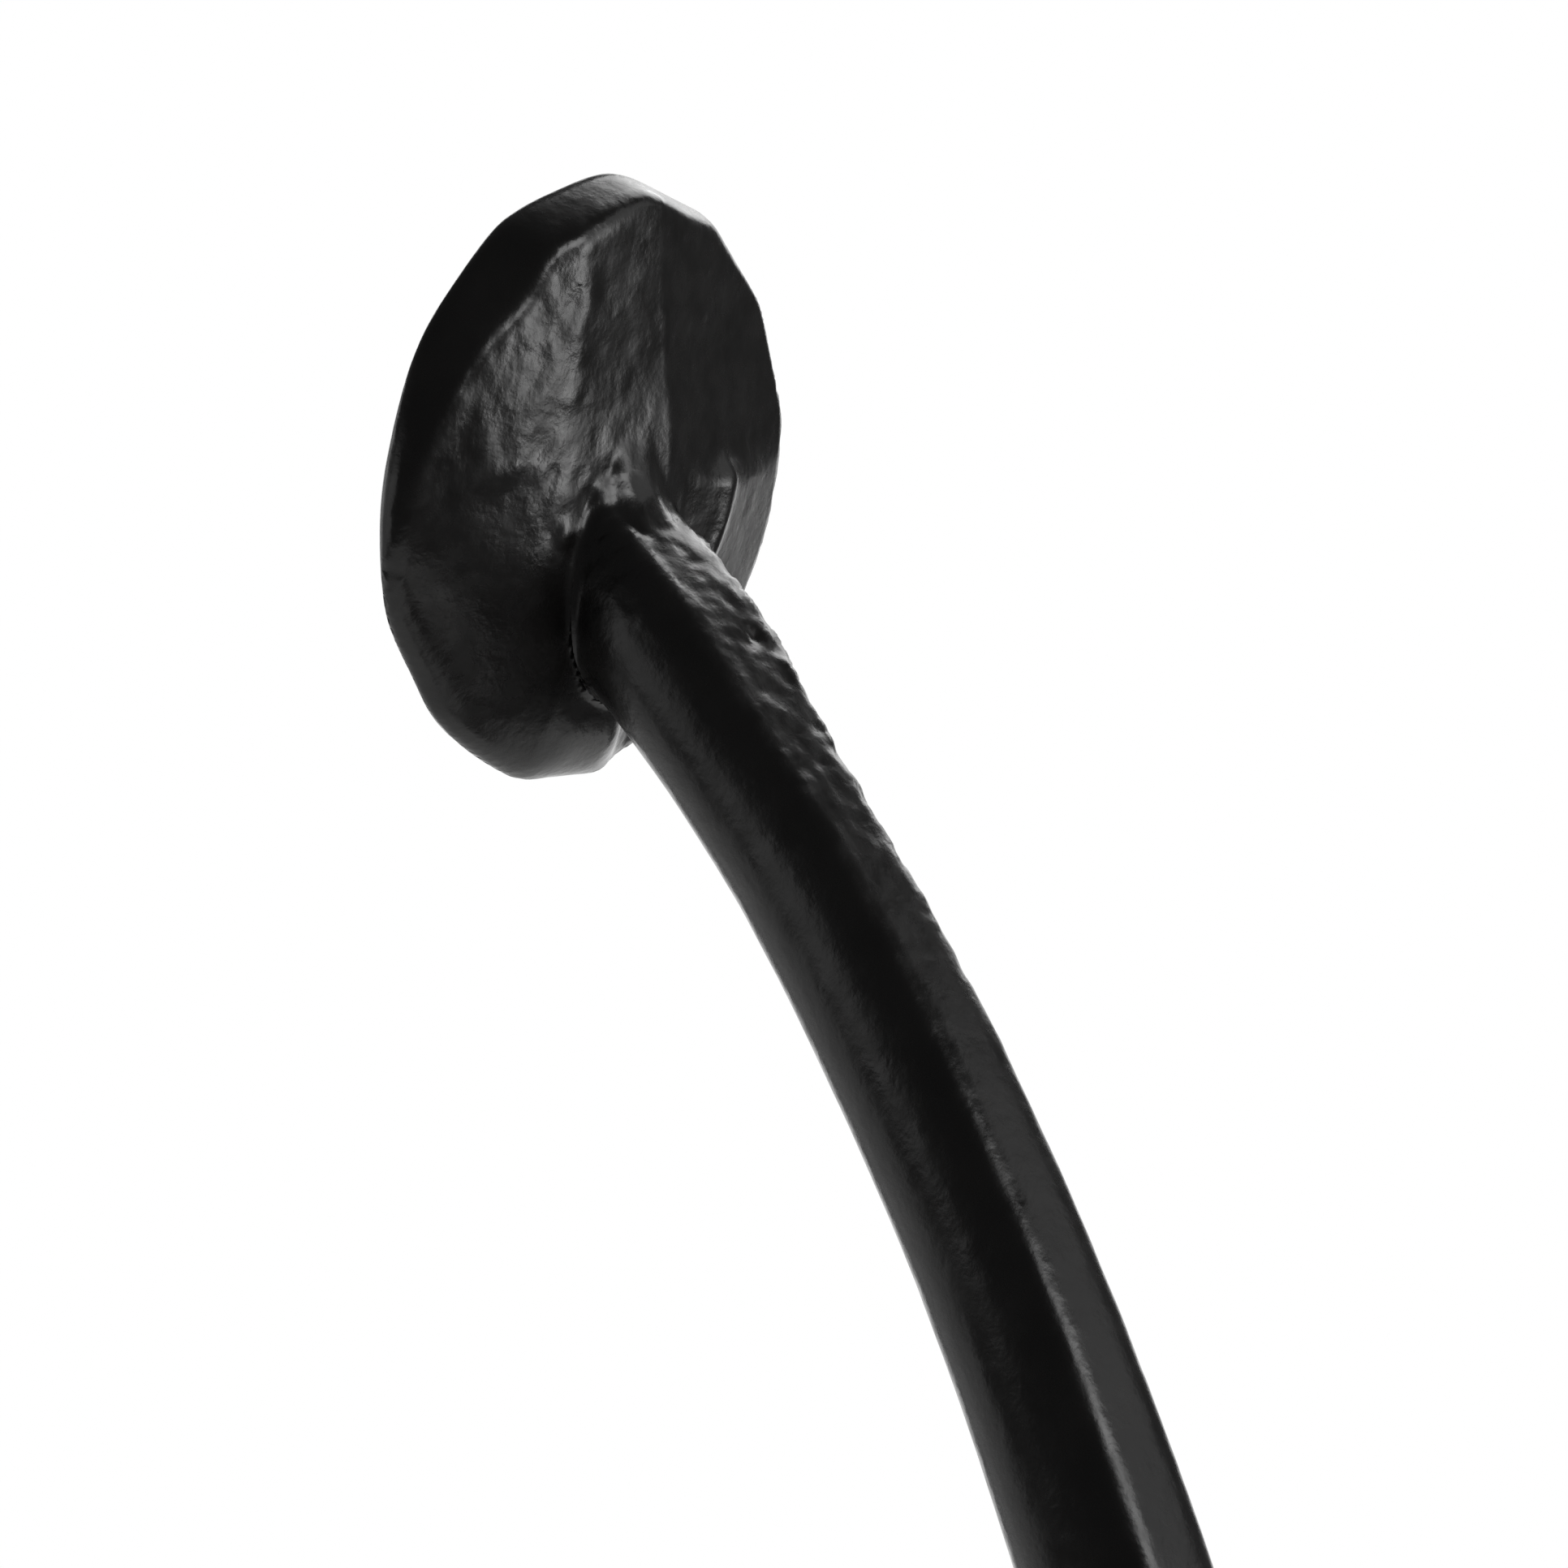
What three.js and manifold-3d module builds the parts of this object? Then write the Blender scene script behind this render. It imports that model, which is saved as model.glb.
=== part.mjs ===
// A cast iron cockspur window handle with a round penny end.
//
// Frame: millimetres, +Z up. The handle turns about the Y axis. The back of the backplate lies on
// the window sash in the plane y = 0, the window is at +Y and the room at -Y. At rest the arm
// stands straight up and the spur points along +X, over the edge of the sash.
import * as THREE from 'three';
import { mergeVertices } from 'three/addons/utils/BufferGeometryUtils.js';
import Module from 'manifold-3d';

const wasm = await Module();
wasm.setup();

// Backplate, a round-ended cast plate with a round boss under the hub
const PLATE_LENGTH = 76;
const PLATE_WIDTH = 23;
const PLATE_THICKNESS = 4;
const PLATE_BEVEL = 1.1;
const BOSS_RADIUS = 10.5;
const BOSS_FACE = -7;
const BUSH_HOLE_RADIUS = 4.3;
const RECESS_RADIUS = 7.5;
const RECESS_DEPTH = 4.2;

// Groove in the boss that the stop stud of the hub runs in
const STOP_RADIUS = 7.6;
const STUD_RADIUS = 1.5;
const STUD_REST_ANGLE = 222.5;
const TURN_RANGE = 95;
const GROOVE_SPARE_ANGLE = 14.5;
const GROOVE_CLEARANCE = 0.3;
const GROOVE_FLOOR = -5.4;

// Hub, spur and the gap that neighbouring pieces keep
const GAP = 0.3;
const HUB_RADIUS = 10;
const HUB_BACK = -8.2;
const HUB_FRONT = -16.2;
const HUB_EDGE = 1.6;
const SPUR_LENGTH = 26;
const SPUR_ROOT_WIDTH = 10;
const SPUR_TIP_WIDTH = 7;
const SPUR_START = 6.5;
const SPUR_NECK_END = 13;
const SPUR_NECK_BACK = -9.4;
const SPUR_FACE_START = 14;
const SPUR_FACE_END = 20;
const SPUR_FACE = -7.5;
const SPUR_TIP_BACK = -10.2;
const SPUR_TIP_FRONT = -14;
const SPUR_ROOT_FRONT = -15.6;

// Arm, an oval bar with a narrow flat on its window side, thinner towards the disc
const ARM_START = [-12.2, 6.5];
const ARM_START_HANDLE = [-11.6, 24.7];
const ARM_END_HANDLE = [-28.8, 61.6];
const ARM_END = [-44.3, 72.7];
const ARM_REACH = 1.02;
const ARM_DEPTH_START = 4.7;
const ARM_DEPTH_END = 3.1;
const ARM_WIDTH_RATIO = 0.82;
const ARM_FLAT_START = 0.78;
const ARM_FLAT_END = 0.87;
const ARM_STEPS = 32;
const ARM_ARC_STEPS = 20;

// Penny disc at the end of the arm
const DISC_CENTRE = [0, -47, 78];
const DISC_TILT = 4.5;
const DISC_RADIUS = 12;
const DISC_BACK_RADIUS = 11.1;
const DISC_RIM = 2;
const DISC_THICKNESS = 3;
const DISC_CROWN = 0.8;
const DISC_RIDGE_HALF_WIDTH = 2.6;

// Pivot pin, bush and washers
const PIN_RADIUS = 3;
const PIN_HEAD_RADIUS = 5;
const PIN_HEAD_HEIGHT = 2.2;
const PIN_TAIL_RADIUS = 2.5;
const PIN_END = -0.35;
const BUSH_OUTER_RADIUS = 4;
const BUSH_INNER_RADIUS = 3.1;
const FRICTION_WASHER_THICKNESS = 0.8;
const FRICTION_WASHER_RADIUS = 5.5;
const WAVE_WASHER_RADIUS = 6.2;
const WAVE_WASHER_THICKNESS = 0.4;
const WAVE_HEIGHT = 0.15;
const RETAINING_WASHER_RADIUS = 6.5;
const RETAINING_WASHER_THICKNESS = 0.6;
const NUT_ACROSS_FLATS = 8;
const NUT_THICKNESS = 1.6;

// Countersunk slotted wood screws
const SCREW_SPACING = 58;
const SCREW_HEAD_RADIUS = 4;
const SCREW_SHANK_RADIUS = 1.95;
const SCREW_CORE_RADIUS = 1.6;
const SCREW_LENGTH = 19;
const SCREW_SLOT_WIDTH = 1;
const SCREW_SLOT_DEPTH = 1;

const ROUND = 48;
const radians = THREE.MathUtils.degToRad;

// --- solids -----------------------------------------------------------------------------------

function toSolid(geometry) {
  const bare = geometry.clone();
  bare.deleteAttribute('normal');
  bare.deleteAttribute('uv');
  const merged = mergeVertices(bare, 1e-4);
  const index = merged.index.array;
  const kept = [];
  for (let i = 0; i < index.length; i += 3) {
    const [a, b, c] = [index[i], index[i + 1], index[i + 2]];
    if (a !== b && b !== c && c !== a) kept.push(a, b, c);
  }
  const mesh = new wasm.Mesh({
    numProp: 3,
    vertProperties: new Float32Array(merged.attributes.position.array),
    triVerts: new Uint32Array(kept),
  });
  return new wasm.Manifold(mesh);
}

function toGeometry(solid) {
  const mesh = solid.getMesh();
  const geometry = new THREE.BufferGeometry();
  geometry.setAttribute('position', new THREE.BufferAttribute(mesh.vertProperties, 3));
  geometry.setIndex(new THREE.BufferAttribute(mesh.triVerts, 1));
  geometry.computeVertexNormals();
  return geometry;
}

// A form turned about the Y axis from [radius, y] points that run from low y to high y outside.
function turnedGeometry(points, segments = ROUND) {
  const profile = points.map(([radius, y]) => new THREE.Vector2(radius, y));
  return new THREE.LatheGeometry(profile, segments);
}

function turned(points, segments = ROUND) {
  return toSolid(turnedGeometry(points, segments));
}

function ringProfile(inner, outer, low, high) {
  return [[inner, low], [outer, low], [outer, high], [inner, high], [inner, low]];
}

function ring(inner, outer, low, high) {
  return turned(ringProfile(inner, outer, low, high));
}

function rod(radius, low, high, segments = ROUND) {
  return turned([[0, low], [radius, low], [radius, high], [0, high]], segments);
}

// An outline in X and Z, extruded from y = back towards -Y.
function plateFrom(shape, back, depth, options = {}) {
  const geometry = new THREE.ExtrudeGeometry(shape, { depth, bevelEnabled: false, ...options });
  geometry.rotateX(Math.PI / 2);
  geometry.translate(0, back, 0);
  return toSolid(geometry);
}

function box(low, high) {
  const size = low.map((value, i) => high[i] - value);
  const geometry = new THREE.BoxGeometry(...size);
  geometry.translate(...low.map((value, i) => value + size[i] / 2));
  return toSolid(geometry);
}

// A closed skin over a row of rings that all have the same number of points.
function loft(rings) {
  const count = rings[0].length;
  const last = rings.length - 1;
  const vertices = rings.flat();
  const faces = [];
  for (let i = 0; i < last; i += 1) {
    for (let j = 0; j < count; j += 1) {
      const next = (j + 1) % count;
      const [a, b] = [i * count + j, i * count + next];
      const [c, d] = [a + count, b + count];
      faces.push(a, b, d, a, d, c);
    }
  }
  for (const [end, flip] of [[0, true], [last, false]]) {
    const centre = new THREE.Vector3();
    rings[end].forEach((point) => centre.addScaledVector(point, 1 / count));
    const middle = vertices.push(centre) - 1;
    for (let j = 0; j < count; j += 1) {
      const [a, b] = [end * count + j, end * count + ((j + 1) % count)];
      faces.push(...(flip ? [middle, b, a] : [middle, a, b]));
    }
  }
  const geometry = new THREE.BufferGeometry().setFromPoints(vertices);
  geometry.setIndex(faces);
  return toSolid(geometry);
}

// --- backplate --------------------------------------------------------------------------------

function plateOutline(inset) {
  const radius = PLATE_WIDTH / 2 - inset;
  const straight = (PLATE_LENGTH - PLATE_WIDTH) / 2;
  const outline = new THREE.Shape();
  outline.absarc(0, straight, radius, 0, Math.PI, false);
  outline.absarc(0, -straight, radius, Math.PI, 2 * Math.PI, false);
  return outline;
}

function stopGroove() {
  const start = radians(STUD_REST_ANGLE - GROOVE_SPARE_ANGLE);
  const end = radians(STUD_REST_ANGLE + TURN_RANGE + GROOVE_SPARE_ANGLE);
  const reach = STUD_RADIUS + GROOVE_CLEARANCE;
  const outline = new THREE.Shape();
  outline.absarc(0, 0, STOP_RADIUS + reach, start, end, false);
  outline.absarc(0, 0, STOP_RADIUS - reach, end, start, true);
  return plateFrom(outline, GROOVE_FLOOR, 4, { curveSegments: 20 });
}

function screwHole(z) {
  const headRadius = SCREW_HEAD_RADIUS + GAP * Math.SQRT2;
  const shankRadius = SCREW_SHANK_RADIUS + GAP;
  const coneEnd = -PLATE_THICKNESS + headRadius - shankRadius;
  const cutter = turned([
    [0, -PLATE_THICKNESS - 1],
    [headRadius, -PLATE_THICKNESS - 1],
    [headRadius, -PLATE_THICKNESS],
    [shankRadius, coneEnd],
    [shankRadius, 1],
    [0, 1],
  ], 32);
  return cutter.translate([0, 0, z]);
}

function makeBackplate() {
  const straightDepth = PLATE_THICKNESS - PLATE_BEVEL;
  const plate = plateFrom(plateOutline(PLATE_BEVEL), 0, straightDepth, {
    bevelEnabled: true,
    bevelThickness: PLATE_BEVEL,
    bevelSize: PLATE_BEVEL,
    bevelSegments: 2,
    curveSegments: 24,
  });
  const behind = box([-40, 0, -60], [40, 5, 60]);
  const boss = turned([
    [0, BOSS_FACE],
    [BOSS_RADIUS - 0.5, BOSS_FACE],
    [BOSS_RADIUS, BOSS_FACE + 0.5],
    [BOSS_RADIUS, -PLATE_THICKNESS + 1],
    [0, -PLATE_THICKNESS + 1],
  ]);
  return plate
    .add(boss)
    .subtract(behind)
    .subtract(rod(RECESS_RADIUS, -RECESS_DEPTH, 1))
    .subtract(rod(BUSH_HOLE_RADIUS, BOSS_FACE - 1, 1))
    .subtract(stopGroove())
    .subtract(screwHole(SCREW_SPACING / 2))
    .subtract(screwHole(-SCREW_SPACING / 2));
}

// --- handle -----------------------------------------------------------------------------------

const armPath = new THREE.CubicBezierCurve3(
  new THREE.Vector3(0, ...ARM_START),
  new THREE.Vector3(0, ...ARM_START_HANDLE),
  new THREE.Vector3(0, ...ARM_END_HANDLE),
  new THREE.Vector3(0, ...ARM_END),
);

// One section of the arm: an ellipse with its window side cut flat, square to the path.
function armSection(t) {
  const centre = armPath.getPoint(t);
  const along = armPath.getTangent(Math.min(t, 1));
  const roomward = new THREE.Vector3(0, -along.z, along.y);
  const depth = THREE.MathUtils.lerp(ARM_DEPTH_START, ARM_DEPTH_END, t);
  const width = depth * ARM_WIDTH_RATIO;
  const flatEdge = Math.asin(THREE.MathUtils.lerp(ARM_FLAT_START, ARM_FLAT_END, t));
  const points = [];
  for (let i = 0; i <= ARM_ARC_STEPS; i += 1) {
    const angle = THREE.MathUtils.lerp(Math.PI + flatEdge, -flatEdge, i / ARM_ARC_STEPS);
    const point = centre.clone().addScaledVector(roomward, depth * Math.sin(angle));
    point.x += width * Math.cos(angle);
    points.push(point);
  }
  return points;
}

function makeArm() {
  const sections = [];
  for (let i = 0; i <= ARM_STEPS; i += 1) {
    sections.push(armSection((ARM_REACH * i) / ARM_STEPS));
  }
  return loft(sections);
}

// The penny disc: a crowned front, a sloping rim and a back that rises to the middle.
function makeDisc() {
  const front = [];
  const frontSteps = 6;
  const crownRadius = DISC_RADIUS - 0.8;
  for (let i = 0; i <= frontSteps; i += 1) {
    const radius = (crownRadius * i) / frontSteps;
    const fall = 0.35 + (DISC_CROWN - 0.35) * (1 - (radius / crownRadius) ** 2);
    front.push([radius, -fall]);
  }
  const disc = turned([
    ...front,
    [DISC_RADIUS - 0.2, -0.12],
    [DISC_RADIUS, 0.1],
    [DISC_BACK_RADIUS + 0.1, DISC_RIM - 0.3],
    [DISC_BACK_RADIUS - 0.4, DISC_RIM + 0.1],
    [DISC_RIDGE_HALF_WIDTH, DISC_THICKNESS],
    [0, DISC_THICKNESS],
  ], 64);
  return disc.rotate([-DISC_TILT, 0, 0]).translate(DISC_CENTRE);
}

function makeHub() {
  return turned([
    [0, HUB_FRONT],
    [HUB_RADIUS - HUB_EDGE, HUB_FRONT],
    [HUB_RADIUS - HUB_EDGE * 0.4, HUB_FRONT + HUB_EDGE * 0.3],
    [HUB_RADIUS, HUB_FRONT + HUB_EDGE],
    [HUB_RADIUS, HUB_BACK - 0.5],
    [HUB_RADIUS - 0.5, HUB_BACK],
    [0, HUB_BACK],
  ]);
}

// The spur: in plan a neck and then a nose, whose flat window side bears on the keep and slopes
// off to a lead-in at the tip. Seen from the room it is a tapered tongue with a round tip.
function makeSpur() {
  const plan = new THREE.Shape([
    new THREE.Vector2(SPUR_START, SPUR_ROOT_FRONT),
    new THREE.Vector2(SPUR_NECK_END, SPUR_ROOT_FRONT),
    new THREE.Vector2(SPUR_LENGTH - 1, SPUR_TIP_FRONT),
    new THREE.Vector2(SPUR_LENGTH, SPUR_TIP_FRONT + 1),
    new THREE.Vector2(SPUR_LENGTH, SPUR_TIP_BACK - 1),
    new THREE.Vector2(SPUR_LENGTH - 1, SPUR_TIP_BACK),
    new THREE.Vector2(SPUR_FACE_END, SPUR_FACE),
    new THREE.Vector2(SPUR_FACE_START, SPUR_FACE),
    new THREE.Vector2(SPUR_NECK_END, SPUR_NECK_BACK),
    new THREE.Vector2(SPUR_START, SPUR_NECK_BACK),
  ]);
  const wedgeGeometry = new THREE.ExtrudeGeometry(plan, { depth: 20, bevelEnabled: false });
  wedgeGeometry.translate(0, 0, -10);
  const tipRadius = SPUR_TIP_WIDTH / 2;
  const tongue = new THREE.Shape();
  tongue.moveTo(SPUR_START, -SPUR_ROOT_WIDTH / 2);
  tongue.lineTo(SPUR_LENGTH - tipRadius, -tipRadius);
  tongue.absarc(SPUR_LENGTH - tipRadius, 0, tipRadius, -Math.PI / 2, Math.PI / 2, false);
  tongue.lineTo(SPUR_START, SPUR_ROOT_WIDTH / 2);
  return toSolid(wedgeGeometry).intersect(plateFrom(tongue, 0, 30, { curveSegments: 16 }));
}

function makeHandle() {
  const angle = radians(STUD_REST_ANGLE);
  const studAt = [STOP_RADIUS * Math.cos(angle), 0, STOP_RADIUS * Math.sin(angle)];
  const stud = rod(STUD_RADIUS, HUB_BACK - 1, GROOVE_FLOOR - GAP, 24).translate(studAt);
  const pinHole = rod(PIN_RADIUS + GAP, HUB_FRONT - 1, HUB_BACK + 1);
  return makeArm()
    .add(makeDisc())
    .add(makeHub())
    .add(makeSpur())
    .add(stud)
    .subtract(pinHole);
}

// --- pivot ------------------------------------------------------------------------------------

// A shouldered pin: a domed head in the room, a plain journal and a thinner threaded tail.
function makePivotPin() {
  const seat = HUB_FRONT - GAP;
  const dome = [];
  for (let i = 0; i <= 6; i += 1) {
    const angle = radians(15 * i);
    dome.push([PIN_HEAD_RADIUS * Math.sin(angle), seat - 0.4 - PIN_HEAD_HEIGHT * Math.cos(angle)]);
  }
  return turned([
    ...dome,
    [PIN_HEAD_RADIUS, seat],
    [PIN_RADIUS, seat],
    [PIN_RADIUS, -RECESS_DEPTH],
    [PIN_TAIL_RADIUS, -RECESS_DEPTH],
    [PIN_TAIL_RADIUS, PIN_END - 0.3],
    [PIN_TAIL_RADIUS - 0.3, PIN_END],
    [0, PIN_END],
  ]);
}

function makePivotBush() {
  return ring(BUSH_INNER_RADIUS, BUSH_OUTER_RADIUS, BOSS_FACE, -RECESS_DEPTH);
}

function makeFrictionWasher() {
  const back = (BOSS_FACE + HUB_BACK + FRICTION_WASHER_THICKNESS) / 2;
  const inner = PIN_RADIUS + GAP;
  return ring(inner, FRICTION_WASHER_RADIUS, back - FRICTION_WASHER_THICKNESS, back);
}

// A spring washer with three waves round its ring.
function makeWaveWasher() {
  const middle = -RECESS_DEPTH + GAP + WAVE_HEIGHT + WAVE_WASHER_THICKNESS / 2;
  const low = middle - WAVE_WASHER_THICKNESS / 2;
  const high = middle + WAVE_WASHER_THICKNESS / 2;
  const inner = PIN_RADIUS + GAP;
  const washer = turnedGeometry(ringProfile(inner, WAVE_WASHER_RADIUS, low, high));
  const position = washer.attributes.position;
  for (let i = 0; i < position.count; i += 1) {
    const angle = Math.atan2(position.getZ(i), position.getX(i));
    position.setY(i, position.getY(i) + WAVE_HEIGHT * Math.cos(3 * angle));
  }
  return toSolid(washer);
}

function nutBack() {
  return PIN_END - 0.1;
}

function makeRetainingWasher() {
  const back = nutBack() - NUT_THICKNESS - GAP;
  const inner = PIN_TAIL_RADIUS + GAP;
  return ring(inner, RETAINING_WASHER_RADIUS, back - RETAINING_WASHER_THICKNESS, back);
}

function makeRetainingNut() {
  const radius = NUT_ACROSS_FLATS / Math.sqrt(3);
  const body = rod(radius, nutBack() - NUT_THICKNESS, nutBack(), 6);
  const hole = rod(PIN_TAIL_RADIUS + GAP, -RECESS_DEPTH, 1, 36);
  return body.subtract(hole);
}

// --- plate screws -----------------------------------------------------------------------------

function makePlateScrew() {
  const top = -PLATE_THICKNESS;
  const tip = top + SCREW_LENGTH;
  const neck = top + SCREW_HEAD_RADIUS - SCREW_SHANK_RADIUS;
  const screw = turned([
    [0, top],
    [SCREW_HEAD_RADIUS - 0.2, top],
    [SCREW_HEAD_RADIUS, top + 0.2],
    [SCREW_SHANK_RADIUS, neck + 0.2],
    [SCREW_SHANK_RADIUS, neck + 5],
    [SCREW_CORE_RADIUS, neck + 6],
    [SCREW_CORE_RADIUS, tip - 5],
    [0, tip],
  ], 32);
  const half = SCREW_SLOT_WIDTH / 2;
  return screw.subtract(box([-half, top - 1, -5], [half, top + SCREW_SLOT_DEPTH, 5]));
}

// --- assembly ---------------------------------------------------------------------------------

const blackPaint = { color: 0x171615, roughness: 0.42, metalness: 0.2 };
const paleSteel = { color: 0xa9abad, roughness: 0.35, metalness: 1 };
const bronze = { color: 0x9c7245, roughness: 0.45, metalness: 1 };
const nylon = { color: 0xd9d5c8, roughness: 0.6, metalness: 0 };

function piece(name, solid, look) {
  const mesh = new THREE.Mesh(toGeometry(solid), new THREE.MeshStandardMaterial(look));
  mesh.name = name;
  return mesh;
}

const plate = new THREE.Group();
plate.add(piece('backplate', makeBackplate(), blackPaint));
plate.add(piece('pivot_bush', makePivotBush(), bronze));
plate.add(piece('wave_washer', makeWaveWasher(), paleSteel));

const screwNames = ['plate_screw_top', 'plate_screw_bottom'];
screwNames.forEach((name, i) => {
  const screw = piece(name, makePlateScrew(), blackPaint);
  screw.position.z = (i === 0 ? 1 : -1) * SCREW_SPACING / 2;
  plate.add(screw);
});

const lever = new THREE.Group();
lever.add(piece('handle', makeHandle(), blackPaint));
lever.add(piece('pivot_pin', makePivotPin(), blackPaint));
lever.add(piece('friction_washer', makeFrictionWasher(), nylon));
lever.add(piece('retaining_washer', makeRetainingWasher(), paleSteel));
lever.add(piece('retaining_nut', makeRetainingNut(), paleSteel));

const group = new THREE.Group();
group.add(plate, lever);

export default group;
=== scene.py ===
"""The look of a cast iron cockspur window handle with a penny end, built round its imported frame.

Shapes are worked out in millimetres in the part's own frame: +Y is the window, -Y the room, +Z up.
They turn into metres when a mesh is made. Left and right are as seen from the window, so +X is left.
A cast piece is a fine skin over its CAD solid, moved onto a distance field that holds the fillets,
facets and roughness of the casting. A field is negative inside the iron and positive outside it.
"""

import math

import bmesh
import bpy
import numpy as np
from mathutils import Matrix, Vector


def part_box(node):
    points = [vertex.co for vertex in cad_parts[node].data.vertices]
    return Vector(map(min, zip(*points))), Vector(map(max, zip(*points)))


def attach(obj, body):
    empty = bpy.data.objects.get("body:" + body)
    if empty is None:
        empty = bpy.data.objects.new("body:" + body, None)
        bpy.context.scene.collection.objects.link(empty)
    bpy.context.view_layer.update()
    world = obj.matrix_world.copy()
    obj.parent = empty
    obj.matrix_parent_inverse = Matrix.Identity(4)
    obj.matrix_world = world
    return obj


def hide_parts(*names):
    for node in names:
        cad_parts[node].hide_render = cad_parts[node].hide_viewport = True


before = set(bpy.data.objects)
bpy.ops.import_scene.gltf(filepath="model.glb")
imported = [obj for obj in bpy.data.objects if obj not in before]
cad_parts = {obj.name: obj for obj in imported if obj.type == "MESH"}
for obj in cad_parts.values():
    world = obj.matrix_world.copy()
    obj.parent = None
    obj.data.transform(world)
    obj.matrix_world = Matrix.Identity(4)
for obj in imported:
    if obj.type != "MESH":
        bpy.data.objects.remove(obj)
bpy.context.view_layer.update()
MM = 0.001

# ---------------------------------------------------------------------------------------------
# Driving dimensions, in millimetres, read from the CAD nodes where a node holds them
# ---------------------------------------------------------------------------------------------


def node_box(node):
    """The low and high corners of a CAD node's box, in millimetres."""
    low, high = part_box(node)
    return np.array(low) / MM, np.array(high) / MM


HANDLE_LOW, HANDLE_HIGH = node_box("handle")
PLATE_HIGH = node_box("backplate")[1]

DISC_TILT = math.radians(4.5)
DISC_RADIUS = 12.0
DISC_THICKNESS = 3.0
DISC_CROWN = 0.8
# The tilted crown's frontmost point: how far down the disc it lies, and how far out in front
FRONTMOST_DOWN = 11.2
FRONTMOST_OUT = 0.35
DISC_CENTRE = np.array([
    0.0,
    HANDLE_LOW[1] + FRONTMOST_DOWN * math.sin(DISC_TILT) + FRONTMOST_OUT * math.cos(DISC_TILT),
    HANDLE_HIGH[2] - DISC_RADIUS * math.cos(DISC_TILT),
])
DISC_BACK = np.array([0.0, math.cos(DISC_TILT), -math.sin(DISC_TILT)])
DISC_UP = np.array([0.0, math.sin(DISC_TILT), math.cos(DISC_TILT)])

# The arm's middle line from hub to disc, as the (y, z) points of one Bezier curve
ARM_PATH = np.array([[-12.2, 6.5], [-11.6, 24.7], [-28.8, 61.6], [-44.3, 72.7]])
# At the hub and at the disc: half the arm's depth, and the share of it at which the flat is cut
ARM_DEPTH = (4.7, 3.1)
ARM_FLAT = (0.78, 0.87)
ARM_WIDTH_RATIO = 0.82
WINDOW_DEPTH_RATIO = 1.08
HUB_SPREAD = 0.25
NECK_SPREAD = 0.36
NECK_FLARE = 1.4
NECK_FLAT_LOSS = 0.09
# How far the flat's edges are worn round, lower down and higher up
WORN_LEFT = (0.7, 0.4)
WORN_RIGHT = (1.2, 0.75)

HUB_RADIUS = 10.0
HUB_BACK = -8.2
HUB_FRONT = -16.2
PIN_HOLE_RADIUS = 3.3
# How far the sharp edges of holes and cuts are rounded
EDGE_BREAK = 0.3

# ---------------------------------------------------------------------------------------------
# Camera
# ---------------------------------------------------------------------------------------------
CAMERA_AZIMUTH = math.radians(128.8)
CAMERA_ELEVATION = math.radians(7.0)
CAMERA_DISTANCE = 600.0
VIEW_WIDTH = 62.3
# Where the disc's centre stands from the middle of the picture: right and up
DISC_FROM_MIDDLE = (-8.32, 12.29)
SENSOR_WIDTH = 36.0


def camera_axes():
    """Right, up and towards the camera, for a level camera."""
    sin_a, cos_a = math.sin(CAMERA_AZIMUTH), math.cos(CAMERA_AZIMUTH)
    sin_e, cos_e = math.sin(CAMERA_ELEVATION), math.cos(CAMERA_ELEVATION)
    right = np.array([cos_a, sin_a, 0.0])
    up = np.array([-sin_a * sin_e, cos_a * sin_e, cos_e])
    towards = np.array([sin_a * cos_e, -cos_a * cos_e, sin_e])
    return right, up, towards


def make_camera():
    """A long lens on the head of the handle."""
    right, up, towards = camera_axes()
    target = DISC_CENTRE - DISC_FROM_MIDDLE[0] * right - DISC_FROM_MIDDLE[1] * up
    data = bpy.data.cameras.new("camera")
    data.sensor_width = SENSOR_WIDTH
    data.lens = SENSOR_WIDTH * CAMERA_DISTANCE / VIEW_WIDTH
    data.clip_start = 0.01
    data.clip_end = 20.0
    camera = bpy.data.objects.new("camera", data)
    bpy.context.scene.collection.objects.link(camera)
    camera.location = Vector((target + towards * CAMERA_DISTANCE) * MM)
    camera.rotation_mode = "QUATERNION"
    camera.rotation_quaternion = Vector(-towards).to_track_quat("-Z", "Y")
    bpy.context.scene.camera = camera


make_camera()

# ---------------------------------------------------------------------------------------------
# Distance fields
# ---------------------------------------------------------------------------------------------


def smooth_max(a, b, blend):
    """The larger of two fields, with the crease between them rounded over about blend mm."""
    overlap = np.maximum(blend - np.abs(a - b), 0.0) / blend
    return np.maximum(a, b) + overlap * overlap * blend / 4


def smooth_min(a, b, blend):
    return -smooth_max(-a, -b, blend)


def ramp(value, low, high):
    """0 below low, 1 above high and a smooth step between."""
    part = np.clip((value - low) / (high - low), 0.0, 1.0)
    return part * part * (3 - 2 * part)


def mix(a, b, part):
    return a + (b - a) * part


LATTICE_SIZE = 32
RANDOM_SEED = 7
RANDOM_LATTICE = np.random.default_rng(RANDOM_SEED).uniform(-1, 1, (LATTICE_SIZE,) * 3)


def noise(points, size, shift=0.0):
    """Smooth noise from -1 to 1 with features about size mm across."""
    place = points / size + shift + 100.0
    cell = np.floor(place).astype(int)
    part = place - cell
    part = part * part * (3 - 2 * part)
    total = 0.0
    for dx in (0, 1):
        for dy in (0, 1):
            for dz in (0, 1):
                corner = (cell + (dx, dy, dz)) % LATTICE_SIZE
                weight = np.where(dx, part[:, 0], 1 - part[:, 0])
                weight = weight * np.where(dy, part[:, 1], 1 - part[:, 1])
                weight = weight * np.where(dz, part[:, 2], 1 - part[:, 2])
                total = total + weight * RANDOM_LATTICE[corner[:, 0], corner[:, 1], corner[:, 2]]
    return total


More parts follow.
